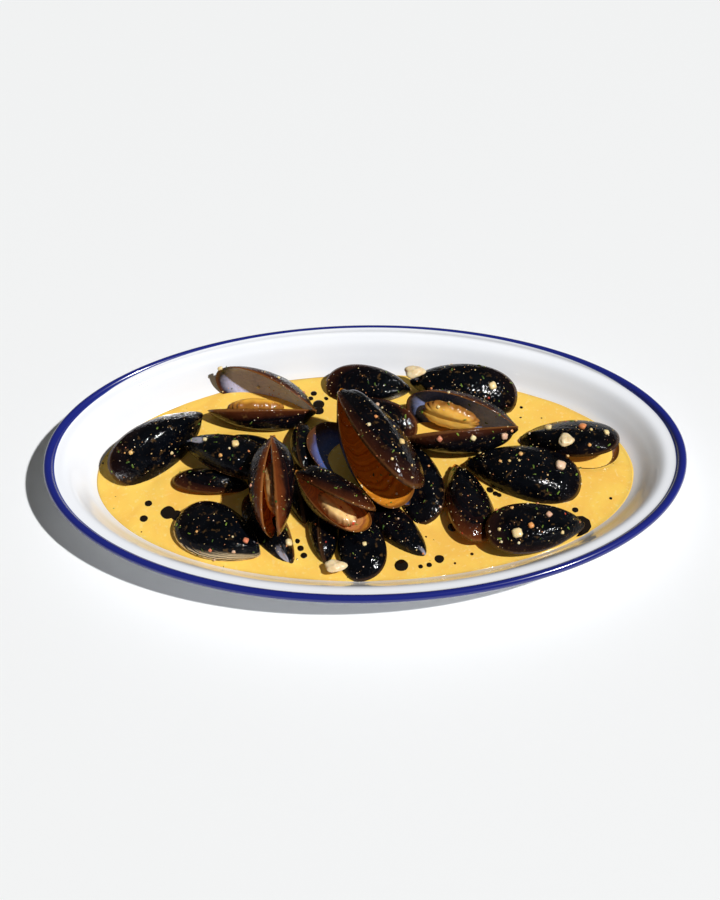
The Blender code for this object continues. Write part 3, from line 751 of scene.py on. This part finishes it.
def garlicMaterial():
    # Cooked garlic: waxy cream, with painted shade making it a little darker in its hollows.
    made, tree, shader = startMaterial("cooked garlic", {
        "Roughness": 0.35, "Subsurface Weight": 0.3, "Subsurface Radius": (0.003, 0.002, 0.001),
        "Subsurface Scale": 1.0, "IOR": 1.45})
    place = addNode(tree, "ShaderNodeTexCoord").outputs["Object"]
    # Mottled every 3 mm
    mottle = addNode(tree, "ShaderNodeTexNoise", {
        "Vector": place, "Scale": 330.0, "Detail": 4.0}).outputs["Fac"]
    # Painted shade: where the mottle dents the surface, the colour is darker
    colour = addNode(tree, "ShaderNodeMix", {
        0: mottle, 6: garlicLook["hollow"], 7: garlicLook["wax"]}, data_type="RGBA").outputs[2]
    bump = addNode(tree, "ShaderNodeBump", {"Height": mottle, "Strength": 0.4, "Distance": 0.5 * mm})
    setInputs(tree, shader, {"Base Color": colour, "Normal": bump.outputs[0]})
    return made


garlicSkin = garlicMaterial()


def makeGarlic(name):
    low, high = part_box(name)
    middle, half = (low + high) / 2, (high - low) / 2
    work = bmesh.new()
    bmesh.ops.create_icosphere(work, subdivisions=4, radius=1)
    for vert in work.verts:
        lobes = 1 + garlicLook["lobes"] * math.sin(3 * math.atan2(vert.co.y, vert.co.x) + garlic[name])
        lumpy = noise.noise(vert.co * garlicLook["lumpScale"] + Vector((garlic[name], 0, 0)))
        grown = vert.co * lobes * (1 + garlicLook["lumps"] * lumpy)
        vert.co = middle + Vector(a * b for a, b in zip(grown, half))
    made = objectFrom(work, "clove_" + name, garlicSkin)
    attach(made, "root")
    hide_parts(name)


for name in garlic:
    makeGarlic(name)
print("garlic made")


# Diced shallot: a cube of this size with cut edges and dents, pressed a little flat and sunk into the shell.
diceLook = {"cube": 0.8, "bevel": 0.17, "dents": 0.22, "dentScale": 2.2, "seedStep": 5.1, "flat": 0.7,
            "lift": 0.12, "above": 200 * mm, "seed": 12}

# The larger dice at their own places, as x, y and size in mm on each mussel.
lumps = {
    "open_back_left": ((-88, 66, 4),),
    "whole_upper_left": ((-77, 5, 5), (-95, 9, 3)),
    "broad_front_left": ((-70, -56, 4),),
    "whole_small_front": ((-46, -54, 5),),
    "open_centre": ((20, -13, 4),),
    "whole_back_middle": ((8, 42, 3),),
    "whole_back_right": ((79, 53, 6),),
    "open_back_right": ((83, 14, 5), (64, 9, 4), (44, 8, 4)),
    "gaping_right": ((111, 22, 5), (131, 20, 5), (145, 16, 4)),
    "whole_right": ((115, -7, 7), (92, 0, 3)),
    "whole_front_right": ((85, -58, 7), (104, -46, 4), (93, -54, 4)),
    "whole_left": ((-139, 4, 3),),
    "whole_front_centre": ((-2, -60, 3),),
}


def diceMaterial():
    # Softened shallot: translucent cream, some stained orange or pink by the sauce.
    made, tree, shader = startMaterial("softened shallot", {
        "Roughness": 0.3, "Subsurface Weight": 0.3, "Subsurface Radius": (0.003, 0.002, 0.001),
        "Subsurface Scale": 1.0, "Coat Weight": 0.3, "Coat Roughness": 0.1, "IOR": 1.42})
    shade = addNode(tree, "ShaderNodeAttribute", attribute_name="shade").outputs["Fac"]
    ramp = addNode(tree, "ShaderNodeValToRGB", {0: shade})
    stops = ((0.0, "#FBE3B0"), (0.45, "#F6CE86"), (0.7, "#EFA45E"), (0.85, "#DD7A55"), (1.0, "#F9EBCB"))
    for position, _ in stops[1:-1]:
        ramp.color_ramp.elements.new(position)
    for element, (position, colour) in zip(ramp.color_ramp.elements, stops):
        element.position, element.color = position, toLinear(colour)
    setInputs(tree, shader, {"Base Color": ramp.outputs[0]})
    return made


diceSkin = diceMaterial()


# A small rounded block with soft corners and dented sides, 1 across
def diceShape(name, seed, flat):
    work = bmesh.new()
    bmesh.ops.create_cube(work, size=diceLook["cube"])
    bmesh.ops.bevel(work, geom=list(work.verts) + list(work.edges), offset=diceLook["bevel"], segments=1,
                    affect="EDGES")
    own = Vector((seed * diceLook["seedStep"], 0, 0))
    for vert in work.verts:
        vert.co *= 1 + diceLook["dents"] * noise.noise(vert.co * diceLook["dentScale"] + own)
        vert.co.z *= flat
    bmesh.ops.triangulate(work, faces=work.faces)
    return objectFrom(work, name)


def placeLumps():
    random = np.random.default_rng(diceLook["seed"])
    made = []
    for name, spots in lumps.items():
        for x, y, size in spots:
            above = Vector((x * mm, y * mm, diceLook["above"]))
            spot, normal = shellTrees[name].ray_cast(above, Vector((0, 0, -1)))[:2]
            if spot is None:
                continue
            block = diceShape("lump", int(random.integers(100)), diceLook["flat"])
            lean = normal.to_track_quat("Z", "Y").to_matrix().to_4x4()
            turn = Matrix.Rotation(random.uniform(0, 6.3), 4, "Z")
            block.data.transform(Matrix.Translation(spot + normal * size * mm * diceLook["lift"]) @ lean
                                 @ turn @ Matrix.Scale(size * mm, 4))
            layer = block.data.attributes.new("shade", "FLOAT", "POINT")
            layer.data.foreach_set("value", np.full(len(block.data.vertices), random.uniform(0, 1)))
            block.data.materials.append(diceSkin)
            made.append(block)
    piece = joinObjects("shallotDice", made)
    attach(piece, "root")


placeLumps()
print("dice placed")


# Herbs, small dice, pepper and oil, scattered over what faces up.

# A copy of several pieces as one mesh to scatter over
def surfaceOf(pieces, name):
    work = bmesh.new()
    for piece in pieces:
        work.from_mesh(piece.data)
    return objectFrom(work, name, smooth=False)


# The shape, how many lie on a square metre, their spacing and sizes, how level the place must be, and a seed
scatterInputs = {"Shape": "Object", "Density": "Float", "Spacing": "Float", "Smallest": "Float",
                 "Largest": "Float", "Facing": "Float", "Seed": "Int", "Material": "Material"}


def scatterTree():
    tree = bpy.data.node_groups.new("scatter over what faces up", "GeometryNodeTree")
    face = tree.interface
    face.new_socket("Geometry", in_out="INPUT", socket_type="NodeSocketGeometry")
    for label, kind in scatterInputs.items():
        face.new_socket(label, in_out="INPUT", socket_type="NodeSocket" + kind)
    face.new_socket("Geometry", in_out="OUTPUT", socket_type="NodeSocketGeometry")
    given = addNode(tree, "NodeGroupInput").outputs
    normal = addNode(tree, "GeometryNodeInputNormal").outputs[0]
    upward = addNode(tree, "ShaderNodeSeparateXYZ", {0: normal}).outputs["Z"]
    facing = addNode(tree, "FunctionNodeCompare", {0: upward, 1: given["Facing"]},
                     operation="GREATER_THAN").outputs[0]
    spread = addNode(tree, "GeometryNodeDistributePointsOnFaces", {
        "Mesh": given["Geometry"], "Selection": facing, "Distance Min": given["Spacing"],
        "Density Max": given["Density"], "Seed": given["Seed"]}, distribute_method="POISSON")
    spin = addNode(tree, "FunctionNodeRandomValue", {"Max": (0.5, 0.5, 6.28), "Seed": given["Seed"]},
                   data_type="FLOAT_VECTOR").outputs["Value"]
    shape = addNode(tree, "GeometryNodeObjectInfo", {"Object": given["Shape"]}).outputs["Geometry"]
    size = addNode(tree, "FunctionNodeRandomValue", {
        2: given["Smallest"], 3: given["Largest"], "Seed": given["Seed"]}, data_type="FLOAT").outputs[1]
    own = addNode(tree, "FunctionNodeEulerToRotation", {0: spin}).outputs[0]
    whole = addNode(tree, "FunctionNodeRotateRotation", {0: spread.outputs["Rotation"], 1: own},
                    rotation_space="LOCAL").outputs[0]
    copies = addNode(tree, "GeometryNodeInstanceOnPoints", {
        "Points": spread.outputs["Points"], "Instance": shape, "Rotation": whole, "Scale": size}).outputs[0]
    shade = addNode(tree, "FunctionNodeRandomValue", {"Seed": 5}, data_type="FLOAT").outputs[1]
    marked = addNode(tree, "GeometryNodeStoreNamedAttribute", {
        "Geometry": copies, "Name": "shade", "Value": shade}, data_type="FLOAT", domain="INSTANCE").outputs[0]
    real = addNode(tree, "GeometryNodeRealizeInstances", {0: marked}).outputs[0]
    finished = addNode(tree, "GeometryNodeSetMaterial", {
        "Geometry": real, "Material": given["Material"]}).outputs[0]
    addNode(tree, "NodeGroupOutput", {0: finished})
    return tree


scatterNodes = scatterTree()


def scatter(name, surface, slotName, *values):
    settings = dict(zip(scatterInputs, values))
    modifier = surface.modifiers.new("scatter", "NODES")
    modifier.node_group = scatterNodes
    for item in scatterNodes.interface.items_tree:
        if item.in_out == "INPUT" and item.name in settings:
            modifier[item.identifier] = settings[item.name]
    graph = bpy.context.evaluated_depsgraph_get()
    graph.update()
    mesh = bpy.data.meshes.new_from_object(surface.evaluated_get(graph))
    surface.modifiers.clear()
    mesh.name = name
    mesh.shade_smooth()
    made = addObject(name, mesh)
    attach(made, "root")
    print(name, len(mesh.polygons), "faces")


def toppingMaterial(name, settings, dark, light):
    # Every piece takes its own shade between the two colours.
    made, tree, shader = startMaterial(name, settings)
    shade = addNode(tree, "ShaderNodeAttribute", attribute_name="shade").outputs["Fac"]
    colour = addNode(tree, "ShaderNodeMix", {0: shade, 6: dark, 7: light}, data_type="RGBA").outputs[2]
    setInputs(tree, shader, {"Base Color": colour})
    return made


# Chopped parsley and chives are dark to bright green with a wet sheen, the pepper flakes are a glossy dark
# red, and the oil is a near-black brown that shines
herbSkin = toppingMaterial("chopped herbs", {"Roughness": 0.4, "IOR": 1.4}, "#33501A", "#7F9A34")
pepperSkin = toppingMaterial("red pepper flakes", {"Roughness": 0.3, "IOR": 1.45}, "#9C1E10", "#D8492A")
oilSkin = startMaterial("dark oil beads", {
    "Roughness": 0.06, "IOR": 1.47, "Coat Weight": 0.6, "Base Color": "#160D06"})[0]


# A torn leaf as a thin wavy solid, 1 long: its half length and half width with how ragged each is, how high
# its upper and lower faces lie, and how far it waves
leafLook = {"corners": 8, "halfLength": 0.5, "torn": 0.08, "halfWidth": 0.27, "pinched": 0.3,
            "faces": (0.05, -0.04), "wave": 0.10}


def leafShape(name):
    work = bmesh.new()
    corners = leafLook["corners"]
    layers = ([], [])
    for a in anglesRound(corners):
        x = math.cos(a) * (leafLook["halfLength"] + leafLook["torn"] * math.sin(3 * a))
        y = math.sin(a) * leafLook["halfWidth"] * (1 + leafLook["pinched"] * math.cos(2 * a))
        for layer, height in zip(layers, leafLook["faces"]):
            layer.append(work.verts.new((x, y, height + leafLook["wave"] * math.sin(5 * x + 3 * y))))
    upper, lower = layers
    work.faces.new(upper)
    work.faces.new(lower[::-1])
    for i in range(corners):
        j = (i + 1) % corners
        work.faces.new((upper[i], lower[i], lower[j], upper[j]))
    bmesh.ops.recalc_face_normals(work, faces=work.faces)
    return objectFrom(work, name, smooth=False)


# A flat drop, 1 across
def beadShape(name):
    work = bmesh.new()
    bmesh.ops.create_uvsphere(work, u_segments=16, v_segments=8, radius=0.5)
    bmesh.ops.scale(work, vec=(1, 1, 0.3), verts=work.verts)
    return objectFrom(work, name)


overShells = surfaceOf(list(shells.values()) + list(flesh.values()), "overShells")
overSauce = surfaceOf([saucePiece], "overSauce")
leaf, bead = leafShape("leaf"), beadShape("bead")
crumb, flake = diceShape("crumb", 3, 0.75), diceShape("flake", 8, 0.35)
# What each topping lies over, its slot, and the values of scatterInputs in their order
toppings = {
    "herbsOnShells": (overShells, "mussel_meat",
                      leaf, 5200.0, 3 * mm, 0.9 * mm, 2.9 * mm, 0.3, 4, herbSkin),
    "herbsOnSauce": (overSauce, "mussel_meat",
                     leaf, 1500.0, 4 * mm, 0.8 * mm, 2.0 * mm, 0.7, 7, herbSkin),
    "crumbsOnShells": (overShells, "cut_garlic",
                       crumb, 3200.0, 4 * mm, 0.8 * mm, 2.6 * mm, 0.35, 11, diceSkin),
    "specksOnShells": (overShells, "cut_garlic",
                       crumb, 26000.0, 1.4 * mm, 0.3 * mm, 0.9 * mm, 0.3, 17, diceSkin),
    "pepperOnShells": (overShells, "mussel_meat",
                       flake, 500.0, 8 * mm, 1.0 * mm, 2.2 * mm, 0.4, 21, pepperSkin),
}
for name, row in toppings.items():
    scatter(name, *row)

# Oil beads that lie free on the sauce, as x, y and radius in mm.
oilBeads = (
    (19, -67, 4.0), (41, -63, 2.8), (35, -67, 1.6), (30, -68, 1.4), (33, -48, 1.9), (-28, 54, 3.6),
    (-28, 49, 3.2), (-31, 63, 2.0), (-33, 59, 1.7), (-23, 59, 1.7), (-131, -31, 2.4), (-129, -20, 2.2),
    (-117, -27, 4.6), (-112, -29, 3.6), (74, -14, 2.4), (77, -17, 1.8), (79, -18, 1.7), (123, -30, 1.9),
    (50, -41, 3.0), (98, 49, 1.1), (97, 19, 1.8), (-41, -49, 1.8), (-39, -54, 2.0), (-37, -59, 2.0),
    (-161, -9, 0.9), (-159, -11, 0.6), (145, -22, 1.0), (60, -60, 1.0), (-60, 66, 0.9), (-96, -62, 0.9),
)
# A crescent of oil round the tip of the front right mussel, as x, y and half its width in mm.
oilCrescent = (
    (123.2, -35.1, 0.6), (126.4, -36.0, 1.6), (128.4, -38.6, 2.4), (128.6, -41.6, 2.6), (126.8, -44.9, 2.3),
    (123.2, -48.1, 1.6), (119.6, -50.6, 1.0), (117.0, -52.0, 0.3),
)
oilLook = {"uneven": 0.10, "flat": 0.22, "lift": 0.1 * mm, "dropsBetween": 6}


def makeOil():
    drops = [(x, y, radius, oilLook["uneven"]) for x, y, radius in oilBeads]
    # The crescent is a close row of even drops
    for start, end in zip(oilCrescent, oilCrescent[1:]):
        for step in range(oilLook["dropsBetween"]):
            share = step / oilLook["dropsBetween"]
            x, y, radius = (a + (b - a) * share for a, b in zip(start, end))
            drops.append((x, y, radius, 0.0))
    work = bmesh.new()
    for x, y, radius, uneven in drops:
        sphere = bmesh.ops.create_uvsphere(work, u_segments=32, v_segments=14, radius=radius * mm)
        for vert in sphere["verts"]:
            lean = 1 + uneven * noise.noise(Vector((x, y, math.atan2(vert.co.y, vert.co.x))))
            vert.co = Vector((x * mm + vert.co.x * lean, y * mm + vert.co.y * lean,
                              sauce["level"] + vert.co.z * oilLook["flat"] + oilLook["lift"]))
    made = objectFrom(work, "oilBeads", oilSkin)
    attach(made, "root")


makeOil()
scatter("oilSpots", overSauce, "cream_sauce", bead, 900.0, 6 * mm, 0.6 * mm, 1.8 * mm, 0.7, 31, oilSkin)
for helper in (overShells, overSauce, leaf, crumb, flake, bead):
    bpy.data.objects.remove(helper, do_unlink=True)
print("toppings scattered")


# Floor and light
studio = {"floor": "#F4F5F6", "floorSize": 6, "floorGap": 0.02 * mm, "sky": "#FCFCF2", "skyStrength": 0.09,
          "sunFrom": (19, -13, 34), "sunStrength": 3.45, "sunSize": 1.8}


def lightScene():
    bpy.ops.mesh.primitive_plane_add(size=studio["floorSize"], location=(0, 0, -studio["floorGap"]))
    floor = bpy.context.object
    floor.name = "floor"
    material = startMaterial("matt pale table", {"Base Color": studio["floor"], "Roughness": 0.7})[0]
    floor.data.materials.append(material)
    world = bpy.data.worlds.new("soft studio")
    bpy.context.scene.world = world
    bpy.context.scene.view_settings.view_transform = "Standard"
    world.use_nodes = True
    background = world.node_tree.nodes["Background"]
    background.inputs["Color"].default_value = toLinear(studio["sky"])
    background.inputs["Strength"].default_value = studio["skyStrength"]
    lamp = bpy.data.lights.new("key", "SUN")
    lamp.energy = studio["sunStrength"]
    lamp.angle = math.radians(studio["sunSize"])
    sun = addObject("key", lamp)
    sun.rotation_mode = "QUATERNION"
    sun.rotation_quaternion = Vector(studio["sunFrom"]).to_track_quat("Z", "Y")


lightScene()
